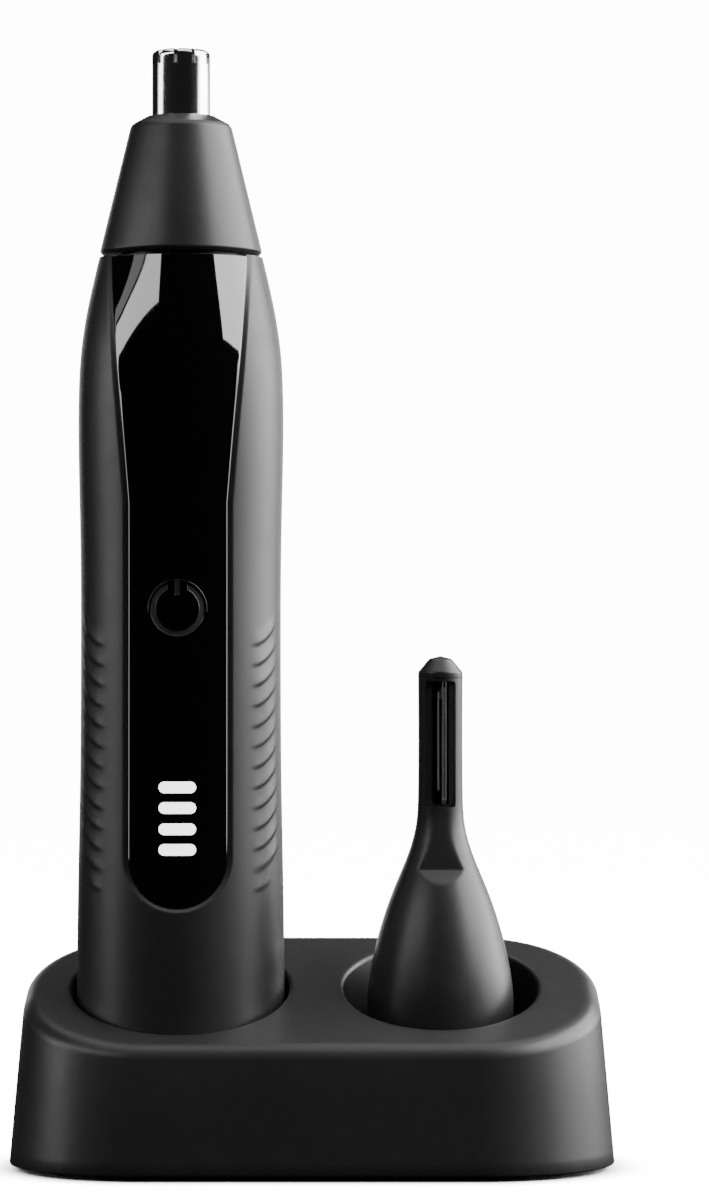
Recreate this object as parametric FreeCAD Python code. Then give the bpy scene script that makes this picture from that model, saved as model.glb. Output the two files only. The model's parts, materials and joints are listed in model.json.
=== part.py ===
import FreeCAD, Part
import math
import os
from FreeCAD import Vector

os.makedirs("parts", exist_ok=True)

# Nose hair trimmer standing in a two-well charging stand, with a spare detail head in the second well.
# Millimetres, +Z up, +Y to the rear. Origin: the middle of the stand's plan, on the surface it stands on.

# ---- driving dimensions ----
TRIMMER_X = -20.2            # axis of the trimmer and of its well
DETAIL_X = 19.7              # axis of the detail head and of its well

STAND_HALF_X, STAND_HALF_Y, STAND_CORNER = 46.4, 23.6, 21.2   # plan of the stand where it starts, Z = 0
STAND_DRAFT = 0.09           # inward lean of the stand's wall, mm per mm of height
STAND_BOTTOM = 0.8           # lower rim of the stand, over its feet
STAND_WALL = 2.0
SLOPE_MID, SLOPE = 27.8, 0.36   # top face: Z = SLOPE_MID + SLOPE * Y
STAND_TOP_FILLET, RIM_FILLET = 3.0, 0.8
LEFT_WELL_R, LEFT_FLOOR = 16.6, 11.0
RIGHT_WELL_R, RIGHT_FLOOR = 14.9, 15.5
WELL_WALL, WELL_FLOOR = 1.4, 1.6
STAND_SCREW_X, STAND_SCREW_Y = 40.0, 7.5

BODY_BOTTOM, BODY_TOP = 11.2, 139.6
BODY_WALL = 2.3
# outer radius of the trimmer's body by height, a soft barrel that narrows to the head
BODY_CURVE = [(15.95, 27.0), (15.84, 40.0), (15.5, 60.0), (15.4, 78.0), (15.5, 97.0), (15.76, 117.5),
              (15.3, 125.8), (14.1, 133.1), (12.6, BODY_TOP)]

# half width of the gloss front panel by height; a straight strip below, with a round lower end
PANEL_CURVE = [(10.6, 140.0), (9.8, 126.0), (8.75, 114.0), (7.7, 101.5)]
PANEL_HALF, PANEL_END = 7.7, 48.0
PANEL_SINK = 0.3             # how far the panel's face lies under the body's surface
PANEL_DEPTH = 1.5            # depth of its recess
PANEL_BEVEL, BEVEL_DEPTH = 0.7, 0.45

BUTTON_Z, BUTTON_R, BUTTON_GAP = 85.5, 4.55, 0.08
LAMP_HEIGHTS = [58.6, 55.5, 52.3, 49.2]
LAMP_HALF, LAMP_R = 2.83, 0.875

HEAD_BOTTOM = 140.0
CONE_FOOT_R, CONE_TOP_R, CONE_TOP = 12.5, 7.85, 159.6
NECK_R, NECK_TOP = 5.2, 161.4
TUBE_R, TUBE_BORE, TUBE_TOP = 4.5, 4.1, 171.6
SLOT_COUNT, SLOT_TURN, SLOT_WIDTH, SLOT_DEPTH = 10, -9.0, 0.6, 2.3
SOCKET_R, SPIGOT_R, SPIGOT_TOP = 9.6, 9.3, 146.0

DETAIL_BOTTOM, DETAIL_TOP = 17.0, 78.4
# outer radius of the detail head by height, from its skirt to its slim neck
DETAIL_CURVE = [(10.75, DETAIL_BOTTOM), (11.2, 26.4), (10.4, 31.9), (8.7, 38.4), (6.9, 43.3), (4.9, 48.2),
                (3.75, 52.6), (3.47, 57.0), (3.45, 75.0)]
DETAIL_WALL = 1.35
WINDOW_HALF, WINDOW_BOTTOM, WINDOW_TOP = 2.3, 55.2, 75.0
SLIT_HALF = 1.25             # half width of the deep slit inside the window, where the blades stand
TOOTH_PITCH, TOOTH_GAP = 0.55, 0.25
LOOP_X, BLADE_X = 0.56, -0.35   # places of the fixed blade loop and of the moving blade, from the head's axis

BOARD_Y0, BOARD_Y1 = -8.5, -7.5      # front and back faces of the circuit board in the body
CELL_R, CELL_Y, CELL_BOTTOM, CELL_TOP = 7.0, 2.6, 19.0, 69.0
MOTOR_R, MOTOR_FLAT, MOTOR_BOTTOM, MOTOR_TOP = 7.5, 6.0, 102.0, 124.0
CONTACT_X = 4.0                      # half the spacing of the charging contacts
BELOW, ABOVE = -5.0, 200.0           # heights safely outside the object


# ---- shape helpers ----
def save(name, *solids):
    """Write one node; several solids go into it as a group."""
    shape = solids[0] if len(solids) == 1 else Part.makeCompound(list(solids))
    shape.exportStep("parts/%s.step" % name)


def rod(radius, z0, z1, x=0.0, y=0.0):
    """Upright cylinder."""
    return Part.makeCylinder(radius, z1 - z0, Vector(x, y, z0))


def ring(outer, inner, z0, z1, x=0.0, y=0.0):
    """Upright tube."""
    return rod(outer, z0, z1, x, y).cut(rod(inner, z0, z1, x, y))


def pin(radius, y0, y1, x, z):
    """Cylinder that lies along Y."""
    return Part.makeCylinder(radius, y1 - y0, Vector(x, y0, z), Vector(0, 1, 0))


def block(x0, x1, y0, y1, z0, z1):
    """Box between two corners."""
    return Part.makeBox(x1 - x0, y1 - y0, z1 - z0, Vector(x0, y0, z0))


def bar(half, radius, y0, y1, x, z):
    """Flat-lying bar with round ends, along X, cut straight through along Y."""
    ends = [pin(radius, y0, y1, x + side * (half - radius), z) for side in (-1, 1)]
    return block(x - half + radius, x + half - radius, y0, y1, z - radius, z + radius).fuse(ends).removeSplitter()


def straight(*points):
    """Edges of straight runs in the XZ half plane, given as (radius, height)."""
    ends = [Vector(r, 0, z) for r, z in points]
    return [Part.LineSegment(a, b).toShape() for a, b in zip(ends, ends[1:])]


def smooth(points):
    """One smooth edge through (radius, height) points."""
    curve = Part.BSplineCurve()
    curve.interpolate([Vector(r, 0, z) for r, z in points])
    return [curve.toShape()]


def turned(edges, x=0.0):
    """Solid turned from a closed outline of edges round the upright axis at x."""
    face = Part.Face(Part.Wire(Part.__sortEdges__(edges)))
    solid = face.revolve(Vector(0, 0, 0), Vector(0, 0, 1), 360)
    if solid.Volume < 0:
        solid.reverse()
    solid.translate(Vector(x, 0, 0))
    return solid


def profile(points, x=0.0):
    """Solid turned from a closed outline of straight runs."""
    return turned(straight(*points, points[0]), x)


def plan(half_x, half_y, corner, z):
    """Rounded rectangle at one height, as a wire."""
    flat = block(-half_x, half_x, -half_y, half_y, z, z + 1.0)
    upright = [e for e in flat.Edges if abs(e.BoundBox.ZLength - 1.0) < 1e-6]
    rounded = flat.makeFillet(corner, upright)
    return [f for f in rounded.Faces if abs(f.BoundBox.ZMax - z) < 1e-6][0].OuterWire


def drafted(inset, z0, z1):
    """The stand's tapered block, inset from its outer wall."""
    wires = []
    for z in (z0, z1):
        shrink = inset + STAND_DRAFT * z
        wires.append(plan(STAND_HALF_X - shrink, STAND_HALF_Y - shrink, STAND_CORNER - shrink, z))
    return Part.makeLoft(wires, True, True)


def over_slope(lower=0.0):
    """Everything over the stand's sloping top face, or over a face that far under it."""
    far = 80.0
    corners = [Vector(-far, y, z) for y, z in ((-far, SLOPE_MID - SLOPE * far - lower),
                                                (far, SLOPE_MID + SLOPE * far - lower), (far, ABOVE),
                                                (-far, ABOVE))]
    face = Part.Face(Part.makePolygon(corners + corners[:1]))
    return face.extrude(Vector(2 * far, 0, 0))


def on_slope(edge):
    """True for an edge that lies in the stand's sloping top face."""
    return all(abs(v.Z - SLOPE_MID - SLOPE * v.Y) < 1e-4 for v in edge.Vertexes) and \
        abs(edge.CenterOfMass.z - SLOPE_MID - SLOPE * edge.CenterOfMass.y) < 0.05


def body_core(inset, z0=BODY_BOTTOM, over=0.0):
    """Solid of the trimmer's outer shape, taken in by inset, and carried straight on over its top."""
    curve = [(r - inset, z) for r, z in BODY_CURVE]
    foot, top = curve[0], curve[-1]
    crown = [top, (top[0], top[1] + over)] if over else [top]
    crown.append((0, top[1] + over))
    edges = straight((0, top[1] + over), (0, z0), (foot[0], z0), foot) + smooth(curve) + straight(*crown)
    return turned(edges, TRIMMER_X)


def panel_prism(grow):
    """The front panel's outline, grown all round, as a prism through the front half of the body."""
    sides = []
    for side in (1, -1):
        curve = Part.BSplineCurve()
        points = [Vector(side * (w + grow), 0, z) for w, z in PANEL_CURVE]
        curve.interpolate(Points=points, InitialTangent=Vector(-side * 0.03, 0, -1), FinalTangent=Vector(0, 0, -1))
        sides.append(curve.toShape())
    half, top, knee = PANEL_HALF + grow, PANEL_CURVE[0], PANEL_CURVE[-1][1]
    end = Part.Arc(Vector(half, 0, PANEL_END), Vector(0, 0, PANEL_END - half), Vector(-half, 0, PANEL_END)).toShape()
    edges = sides + [end]
    edges += straight((half, knee), (half, PANEL_END)) + straight((-half, knee), (-half, PANEL_END))
    edges += straight((top[0] + grow, top[1]), (-top[0] - grow, top[1]))
    face = Part.Face(Part.Wire(Part.__sortEdges__(edges)))
    face.translate(Vector(TRIMMER_X, 0, 0))
    return face.extrude(Vector(0, -25, 0))


def coil(radius, half, z0, z1, turns, x=0.0, y=0.0):
    """Coil spring of square wire, half is half its width, round an upright axis."""
    helix = Part.makeHelix((z1 - z0 - 2 * half) / turns, z1 - z0 - 2 * half, radius)
    corners = [Vector(radius + a * half, 0, b * half) for a, b in ((-1, -1), (1, -1), (1, 1), (-1, 1), (-1, -1))]
    spring = Part.Wire(helix).makePipeShell([Part.makePolygon(corners)], True, True)
    spring.translate(Vector(x, y, z0 + half))
    return spring


def lead(points, radius, bend):
    """Insulated lead: straight runs joined by tangent arcs."""
    corners = [Vector(*p) for p in points]
    edges, start = [], corners[0]
    for before, corner, after in zip(corners, corners[1:], corners[2:]):
        back, ahead = (before - corner).normalize(), (after - corner).normalize()
        half = back.getAngle(ahead) / 2.0
        reach = bend / math.tan(half)
        middle = corner + (back + ahead).normalize() * (bend / math.sin(half) - bend)
        edges.append(Part.LineSegment(start, corner + back * reach).toShape())
        edges.append(Part.Arc(corner + back * reach, middle, corner + ahead * reach).toShape())
        start = corner + ahead * reach
    edges.append(Part.LineSegment(start, corners[-1]).toShape())
    section = Part.Wire(Part.makeCircle(radius, corners[0], corners[1] - corners[0]))
    return Part.Wire(edges).makePipeShell([section], True, True)


def screw(x, y, z, head_r, head_h, shank_r, length):
    """Upright screw whose head is at the bottom, for the underside of the stand."""
    return rod(head_r, z, z + head_h, x, y).fuse(rod(shank_r, z + head_h, z + head_h + length, x, y)).removeSplitter()


# ---- stand ----
def screw_places():
    return [(sx * STAND_SCREW_X, sy * STAND_SCREW_Y) for sx in (-1, 1) for sy in (-1, 1)]


def base_shell():
    """Wedge-topped housing with two wells, open underneath."""
    outer = drafted(0.0, STAND_BOTTOM, 38.0).cut(over_slope())
    outer = outer.makeFillet(STAND_TOP_FILLET, [e for e in outer.Edges if on_slope(e)])
    cavity = drafted(STAND_WALL, BELOW, 38.0).cut(over_slope(STAND_WALL + 0.2))
    kept = [rod(LEFT_WELL_R + WELL_WALL, LEFT_FLOOR - WELL_FLOOR, ABOVE, TRIMMER_X),
            rod(RIGHT_WELL_R + WELL_WALL, RIGHT_FLOOR - WELL_FLOOR, ABOVE, DETAIL_X)]
    kept += [ring(2.6, 1.0, 2.8, 12.0, x, y) for x, y in screw_places()]
    shell = outer.cut(cavity.cut(kept))
    shell = shell.cut([rod(LEFT_WELL_R, LEFT_FLOOR, ABOVE, TRIMMER_X), rod(RIGHT_WELL_R, RIGHT_FLOOR, ABOVE, DETAIL_X)])
    shell = shell.makeFillet(RIM_FILLET, [e for e in shell.Edges if on_slope(e) and e.Length > 60])
    pin_holes = [rod(0.88, LEFT_FLOOR - 3, LEFT_FLOOR + 1, TRIMMER_X + s * CONTACT_X) for s in (-1, 1)]
    return shell.cut(pin_holes + [bar(5.3, 2.2, 15.0, 30.0, 0.0, 7.4)])


BASE_BOARD_Z0, BASE_BOARD_Z1 = 4.6, 5.8
BOARD_POSTS = [(-25.0, -7.0), (-25.0, 17.0), (3.0, -7.0)]


def base_bottom_plate():
    """Flat closing plate with pockets for the feet and the screw heads, and posts for the board."""
    plate = Part.Face(plan(44.05, 21.25, 18.9, 0.9)).extrude(Vector(0, 0, 1.8))
    posts = [rod(1.8, 2.7, BASE_BOARD_Z0, x, y) for x, y in BOARD_POSTS]
    cuts = [rod(4.05, BELOW, 1.5, x, y) for x, y in foot_places()]
    cuts += [rod(2.3, BELOW, 2.0, x, y) for x, y in screw_places()]
    cuts += [rod(1.2, BELOW, 5.0, x, y) for x, y in screw_places()]
    cuts += [rod(0.8, 2.0, 6.0, x, y) for x, y in BOARD_POSTS]
    return plate.fuse(posts).cut(cuts).removeSplitter()


def foot_places():
    return [(sx * 29.0, sy * 14.0) for sx in (-1, 1) for sy in (-1, 1)]


def charging_socket():
    """Metal inlet shell, open to the rear, with its contact tongue."""
    shell = bar(4.5, 1.6, 14.6, 21.8, 0.0, 7.4).cut(bar(4.1, 1.2, 15.2, 22.0, 0.0, 7.4))
    return shell.fuse(block(-3.0, 3.0, 15.2, 20.8, 7.1, 7.7)).removeSplitter()


def contact_block():
    """Plastic block under the left well that guides the two spring pins."""
    body = block(TRIMMER_X - 7.5, TRIMMER_X + 7.5, -3.0, 3.0, BASE_BOARD_Z1, LEFT_FLOOR - WELL_FLOOR)
    return body.cut([rod(1.8, 6.4, 10.0, TRIMMER_X + s * CONTACT_X) for s in (-1, 1)])


def make_stand():
    save("base_shell", base_shell())
    save("base_bottom_plate", base_bottom_plate())
    save("base_feet", *[rod(4.0, 0.0, 1.5, x, y) for x, y in foot_places()])
    save("base_screws", *[screw(x, y, 1.0, 2.2, 1.0, 1.0, 7.0) for x, y in screw_places()])
    board = block(-28.0, 6.0, -10.0, 20.0, BASE_BOARD_Z0, BASE_BOARD_Z1)
    save("base_circuit_board", board.cut([rod(0.8, 4.0, 6.0, x, y) for x, y in BOARD_POSTS]))
    save("base_board_screws", *[rod(1.5, 5.8, 6.5, x, y).fuse(rod(0.8, 2.1, 5.8, x, y)).removeSplitter()
                                for x, y in BOARD_POSTS])
    save("charging_socket", charging_socket())
    save("contact_block", contact_block())
    save("ballast_plate", block(8.5, 34.0, -15.0, 15.0, 2.75, 5.75))
    post = profile([(0, 15.5), (13.5, 15.5), (13.5, 16.6), (8.8, 16.6), (8.8, 22.0), (8.3, 22.5), (4.0, 22.5),
                    (4.0, 17.0), (0, 17.0)], DETAIL_X)
    save("head_post", post)
    pins, springs = [], []
    for side in (-1, 1):
        x = TRIMMER_X + side * CONTACT_X
        pins.append(profile([(0, 8.0), (1.3, 8.0), (1.3, 8.6), (0.8, 8.6), (0.8, 11.5), (0.5, 11.85), (0, 11.85)], x))
        springs.append(coil(1.15, 0.12, 6.45, 7.95, 4, x))
    save("charge_pins", *pins)
    save("charge_pin_springs", *springs)


# ---- trimmer body ----
def body_shell():
    """Hollow barrel with the recess for the front panel and openings behind it."""
    foot = ring(20.0, BODY_CURVE[0][0] - 0.6, BODY_BOTTOM - 1, BODY_BOTTOM + 0.6, TRIMMER_X)
    barrel = body_core(0.0).cut(body_core(BODY_WALL, BODY_BOTTOM - 1, 1.0)).cut(foot)
    deep = panel_prism(0.05).cut(body_core(PANEL_DEPTH, BELOW, 5.0))
    bevel = panel_prism(PANEL_BEVEL).cut(body_core(BEVEL_DEPTH, BELOW, 5.0))
    openings = [pin(BUTTON_R + BUTTON_GAP, -18.0, -9.0, TRIMMER_X, BUTTON_Z)]
    openings += [bar(LAMP_HALF, LAMP_R, -18.0, -9.0, TRIMMER_X, z) for z in LAMP_HEIGHTS]
    return barrel.cut([deep, bevel]).cut(openings)


def front_panel():
    """Thin gloss cover that follows the body, with holes for the button and the four lamps."""
    skin = panel_prism(0.0).common(body_core(PANEL_SINK)).cut(body_core(PANEL_DEPTH - 0.05))
    skin = skin.cut(block(-60, 20, -30, 30, BODY_TOP - 0.3, ABOVE))
    openings = [pin(BUTTON_R + BUTTON_GAP, -18.0, -9.0, TRIMMER_X, BUTTON_Z)]
    openings += [bar(LAMP_HALF, LAMP_R, -18.0, -9.0, TRIMMER_X, z) for z in LAMP_HEIGHTS]
    return skin.cut(openings)


def light_guide():
    """Four clear bars that carry the light of the lamps to the panel's face."""
    face = body_core(PANEL_SINK)
    return [bar(LAMP_HALF, LAMP_R, -18.0, -9.6, TRIMMER_X, z).common(face) for z in LAMP_HEIGHTS]


def power_button():
    """Round cap that follows the panel's face, with an engraved on-off sign, and a stem behind."""
    cap = pin(BUTTON_R, -18.0, -12.3, TRIMMER_X, BUTTON_Z).common(body_core(PANEL_SINK))
    ring_cut = pin(4.11, -18.0, -12.0, TRIMMER_X, BUTTON_Z).cut(pin(3.28, -18.0, -12.0, TRIMMER_X, BUTTON_Z))
    ring_cut = ring_cut.cut(block(TRIMMER_X - 1.54, TRIMMER_X + 1.54, -18, -12, BUTTON_Z, BUTTON_Z + 5))
    dash = block(TRIMMER_X - 0.42, TRIMMER_X + 0.42, -18, -12, BUTTON_Z + 2.1, BUTTON_Z + 4.38)
    sign = ring_cut.fuse(dash).cut(body_core(PANEL_SINK + 0.15))
    return cap.cut(sign).fuse(pin(2.2, -12.4, -11.3, TRIMMER_X, BUTTON_Z)).removeSplitter()


def tact_switch():
    """Small square switch on the board, open at the front for its plunger."""
    case = block(TRIMMER_X - 3, TRIMMER_X + 3, -10.6, BOARD_Y0, BUTTON_Z - 3, BUTTON_Z + 3)
    return case.cut(pin(1.73, -11.0, -9.4, TRIMMER_X, BUTTON_Z))


BOARD_SCREWS = [(sx * 6.8, z) for sx in (-1, 1) for z in (44.0, 92.0)]


def main_circuit_board():
    board = block(TRIMMER_X - 8.5, TRIMMER_X + 8.5, BOARD_Y0, BOARD_Y1, 38.0, 96.0)
    return board.cut([pin(0.85, -9.0, -7.0, TRIMMER_X + x, z) for x, z in BOARD_SCREWS])


def chassis_screw(x, z):
    head = pin(1.5, BOARD_Y0 - 0.8, BOARD_Y0, TRIMMER_X + x, z)
    return head.fuse(pin(0.85, BOARD_Y0, -5.9, TRIMMER_X + x, z)).removeSplitter()


def inner_chassis():
    """Spine plate behind the board, with a cradle for the cell and two bulkheads."""
    x0, x1 = TRIMMER_X - 8.5, TRIMMER_X + 8.5
    cradles = [block(x0, x1, -5.8, CELL_Y, z, z + 3.0) for z in (27.0, 57.0)]
    half_disc = block(x0 - 10, x1 + 10, -7.3, 20, 70.5, 99.5)
    bulkheads = [rod(12.6, z, z + 2.0, TRIMMER_X).common(half_disc) for z in (72.0, 97.0)]
    frame = block(x0, x1, -7.3, -5.7, 20.0, 98.0).fuse(cradles + bulkheads)
    cuts = [rod(CELL_R + 0.05, CELL_BOTTOM, CELL_TOP + 2, TRIMMER_X, CELL_Y)]
    cuts.append(block(TRIMMER_X - 4.5, TRIMMER_X + 4.5, -2.0, 2.0, 96.0, 100.0))
    cuts.append(block(TRIMMER_X - 4.5, TRIMMER_X + 4.5, -8.0, -5.0, 92.5, 96.0))
    cuts.append(block(TRIMMER_X - 2.3, TRIMMER_X + 2.3, -8.0, -5.0, 68.5, 70.0))
    cuts += [pin(0.85, -8.0, -5.9, TRIMMER_X + x, z) for x, z in BOARD_SCREWS]
    return frame.cut(cuts).removeSplitter()


def battery_tabs():
    """Nickel strips from both ends of the cell to the board."""
    upper = block(TRIMMER_X - 2, TRIMMER_X + 2, BOARD_Y1, CELL_Y + 2, CELL_TOP, CELL_TOP + 0.3)
    under = block(TRIMMER_X - 2, TRIMMER_X + 2, -7.75, CELL_Y + 2, CELL_BOTTOM - 0.3, CELL_BOTTOM)
    riser = block(TRIMMER_X - 2, TRIMMER_X + 2, -7.75, -7.45, CELL_BOTTOM - 0.3, 38.0)
    return [upper, under.fuse(riser).removeSplitter()]


def motor_section(inset, z0, z1):
    half = MOTOR_FLAT - inset
    return rod(MOTOR_R - inset, z0, z1, TRIMMER_X).common(block(-60, 20, -half, half, z0, z1))


def motor_can():
    can = motor_section(0.0, MOTOR_BOTTOM, MOTOR_TOP).fuse(rod(2.5, MOTOR_TOP - 1, MOTOR_TOP + 1.2, TRIMMER_X))
    return can.removeSplitter().cut(rod(1.05, 116.0, 130.0, TRIMMER_X))


def motor_mount():
    """Collar round the motor, pierced at both sides, with a top plate for the shaft."""
    mount = rod(12.6, 110.0, 127.0, TRIMMER_X).cut(motor_section(-0.1, 105.0, MOTOR_TOP + 0.1))
    mount = mount.cut(rod(3.2, 120.0, 130.0, TRIMMER_X))
    sides = [block(TRIMMER_X + s * 10.6 - 1.2, TRIMMER_X + s * 10.6 + 1.2, -20, 20, 112.0, 122.0) for s in (-1, 1)]
    return mount.cut(sides)


def make_trimmer():
    save("body_shell", body_shell())
    save("front_panel", front_panel())
    save("light_guides", *light_guide())
    save("power_button", power_button())
    save("button_gasket", pin(6.0, -11.45, -10.85, TRIMMER_X, BUTTON_Z).cut(
        pin(2.6, -12.0, -10.0, TRIMMER_X, BUTTON_Z)))
    save("tact_switch", tact_switch())
    save("switch_plunger", pin(1.65, -11.2, -10.1, TRIMMER_X, BUTTON_Z))
    save("main_circuit_board", main_circuit_board())
    save("status_leds", *[block(TRIMMER_X - 1.6, TRIMMER_X + 1.6, BOARD_Y0 - 0.8, BOARD_Y0, z - 0.5, z + 0.5)
                          for z in LAMP_HEIGHTS])
    save("chassis_screws", *[chassis_screw(x, z) for x, z in BOARD_SCREWS])
    save("inner_chassis", inner_chassis())
    save("battery_cell", rod(CELL_R, CELL_BOTTOM, CELL_TOP, TRIMMER_X, CELL_Y))
    save("battery_tabs", *battery_tabs())
    save("motor_can", motor_can())
    save("motor_end_cap", motor_section(0.3, 100.2, MOTOR_BOTTOM))
    save("motor_mount", motor_mount())
    save("motor_shaft", rod(1.0, 116.3, 138.5, TRIMMER_X))
    coupler = rod(2.6, 134.0, 145.2, TRIMMER_X).cut(rod(1.0, 130.0, 138.5, TRIMMER_X))
    save("drive_coupler", coupler.cut(block(TRIMMER_X - 1.25, TRIMMER_X + 1.25, -1.25, 1.25, 140.5, 146.0)))
    save("motor_leads", *[lead([(TRIMMER_X + s * 3, 0, 100.2), (TRIMMER_X + s * 3, 0, 94.3),
                                (TRIMMER_X + s * 3, BOARD_Y1, 94.3)], 0.45, 2.0) for s in (-1, 1)])
    save("contact_leads", *[lead([(TRIMMER_X + s * CONTACT_X, 0, 15.5), (TRIMMER_X + s * CONTACT_X, 0, 17.4),
                                  (TRIMMER_X + s * CONTACT_X, -8.0, 17.4), (TRIMMER_X + s * CONTACT_X, -8.0, 38.0)],
                                 0.45, 1.5) for s in (-1, 1)])
    collar = [(5.2, 127.0), (9.5, 127.0), (9.5, 135.0), (10.1, 136.0), (10.1, 139.6), (SPIGOT_R, 139.6),
              (SPIGOT_R, 142.4), (8.6, 142.4), (8.6, 143.6), (SPIGOT_R, 143.6), (SPIGOT_R, 145.6),
              (SPIGOT_R - 0.4, SPIGOT_TOP), (5.2, SPIGOT_TOP)]
    save("top_collar", profile(collar, TRIMMER_X))
    save("head_seal", Part.makeTorus(9.05, 0.45, Vector(TRIMMER_X, 0, 143.0)))
    save("shaft_seal", ring(5.2, 3.0, 143.5, 145.5, TRIMMER_X))
    cap = profile([(0, 11.4), (13.6, 11.4), (13.6, 12.4), (12.9, 12.4), (12.9, 15.0), (0, 15.0)], TRIMMER_X)
    pads = [rod(1.5, 11.0, 16.0, TRIMMER_X + s * CONTACT_X) for s in (-1, 1)]
    save("bottom_cap", cap.cut(pads))
    save("bottom_seal", ring(13.62, 12.9, 12.5, 13.7, TRIMMER_X))
    save("charge_contacts", *[rod(1.5, 12.0, 15.5, TRIMMER_X + s * CONTACT_X) for s in (-1, 1)])


# ---- nose head ----
def cutter_tube():
    """Chromed tube with a closed, rounded top and slots cut over its rim."""
    top = rod(TUBE_R, 157.0, TUBE_TOP, TRIMMER_X)
    top = top.makeFillet(1.0, [e for e in top.Edges if abs(e.BoundBox.ZMin - TUBE_TOP) < 1e-6])
    tube = top.fuse(rod(6.0, 156.8, 157.8, TRIMMER_X)).cut(rod(TUBE_BORE, 150.0, TUBE_TOP - 0.5, TRIMMER_X))
    slots = []
    for index in range(SLOT_COUNT):
        slot = block(-SLOT_WIDTH / 2, SLOT_WIDTH / 2, -6.0, -2.6, TUBE_TOP - SLOT_DEPTH, TUBE_TOP + 1)
        slot.rotate(Vector(0, 0, 0), Vector(0, 0, 1), SLOT_TURN + 360.0 * index / SLOT_COUNT)
        slot.translate(Vector(TRIMMER_X, 0, 0))
        slots.append(slot)
    return tube.cut(slots)


def inner_cutter():
    """Four upright blades on a hub, turning close inside the tube."""
    blades = rod(1.6, 160.0, 171.05, TRIMMER_X)
    sweep = rod(TUBE_BORE - 0.05, 167.5, 171.05, TRIMMER_X)
    cross = [block(TRIMMER_X - 5, TRIMMER_X + 5, -0.3, 0.3, 167.5, 171.05),
             block(TRIMMER_X - 0.3, TRIMMER_X + 0.3, -5, 5, 167.5, 171.05)]
    blades = blades.fuse([plate.common(sweep) for plate in cross]).removeSplitter()
    return blades.cut(rod(0.9, 155.0, 164.0, TRIMMER_X))


def make_nose_head():
    shell = [(SOCKET_R, HEAD_BOTTOM), (CONE_FOOT_R - 0.45, HEAD_BOTTOM), (CONE_FOOT_R, HEAD_BOTTOM + 0.5),
             (CONE_TOP_R, CONE_TOP), (7.55, 160.05), (NECK_R, NECK_TOP), (TUBE_R, NECK_TOP), (TUBE_R, 159.4),
             (6.2, 158.2), (8.9, 147.6), (SOCKET_R, 146.8)]
    save("nose_head_shell", profile(shell, TRIMMER_X))
    save("cutter_tube", cutter_tube())
    save("head_retainer", ring(8.6, 1.75, 147.2, 148.1, TRIMMER_X))
    save("cutter_spring", coil(2.05, 0.17, 148.15, 150.6, 3, TRIMMER_X))
    save("inner_cutter", inner_cutter())
    save("cutter_shaft", rod(0.9, 145.0, 164.0, TRIMMER_X))
    driven = block(TRIMMER_X - 1, TRIMMER_X + 1, -1, 1, 141.0, 151.2).fuse(rod(2.6, 151.0, 152.5, TRIMMER_X))
    save("driven_coupler", driven.removeSplitter().cut(rod(0.9, 145.0, 153.0, TRIMMER_X)))


# ---- detail head ----
def detail_core(inset, z0, z1):
    """Solid of the detail head's outer shape, taken in by inset, between two heights."""
    curve = [(r - inset, z) for r, z in DETAIL_CURVE]
    top, foot = curve[-1], curve[0]
    core = turned(smooth(curve) + straight(top, (0, top[1]), (0, foot[1]), foot), DETAIL_X)
    return core.common(rod(20.0, z0, z1, DETAIL_X))


def detail_head_shell():
    socket = rod(SOCKET_R, BELOW, 24.0, DETAIL_X)
    cavity = detail_core(DETAIL_WALL, 23.9, DETAIL_CURVE[-1][1])
    window = block(DETAIL_X - WINDOW_HALF, DETAIL_X + WINDOW_HALF, -6.0, -2.5, WINDOW_BOTTOM, WINDOW_TOP + 2)
    slit = block(DETAIL_X - SLIT_HALF, DETAIL_X + SLIT_HALF, -6.0, -1.0, WINDOW_BOTTOM + 0.4, WINDOW_TOP + 2)
    return detail_core(0.0, BELOW, WINDOW_TOP).cut([socket, cavity, window, slit])


def detail_head_cap():
    """Rounded cap that closes the neck, with a plug that goes into its bore."""
    edges = straight((0, 73.6), (1.9, 73.6), (1.9, 75.0), (3.45, 75.0), (3.45, 75.6))
    edges += smooth([(3.45, 75.6), (3.0, 76.5), (1.4, 78.05), (0.0, DETAIL_TOP)])
    edges += straight((0.0, DETAIL_TOP), (0, 73.6))
    return turned(edges, DETAIL_X)


def tooth_heights(start, count):
    """Heights of the gaps between the fine teeth of a blade."""
    return [start + TOOTH_PITCH * index for index in range(count)]


def fixed_blade():
    """Upright steel loop with a row of fine teeth on its cutting edge."""
    x = DETAIL_X + LOOP_X
    loop = block(x - 0.35, x + 0.35, -3.2, -1.9, 56.3, 74.6)
    loop = loop.cut(block(x - 0.17, x + 0.17, -4.0, -1.0, 56.5, 74.4))
    teeth = [block(x - 1, x + 1, -3.4, -3.0, z, z + TOOTH_GAP) for z in tooth_heights(57.0, 30)]
    backing = block(x - 0.35, x + 0.35, -2.0, -1.75, 55.7, 73.6)
    return loop.cut(teeth).fuse(backing).removeSplitter()


def moving_blade():
    """Thin toothed strip that slides up and down beside the fixed loop."""
    x = DETAIL_X + BLADE_X
    blade = block(x - 0.12, x + 0.12, -3.1, -1.0, 57.8, 72.9)
    return blade.cut([block(x - 1, x + 1, -3.4, -2.9, z, z + TOOTH_GAP) for z in tooth_heights(58.2, 25)])


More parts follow.
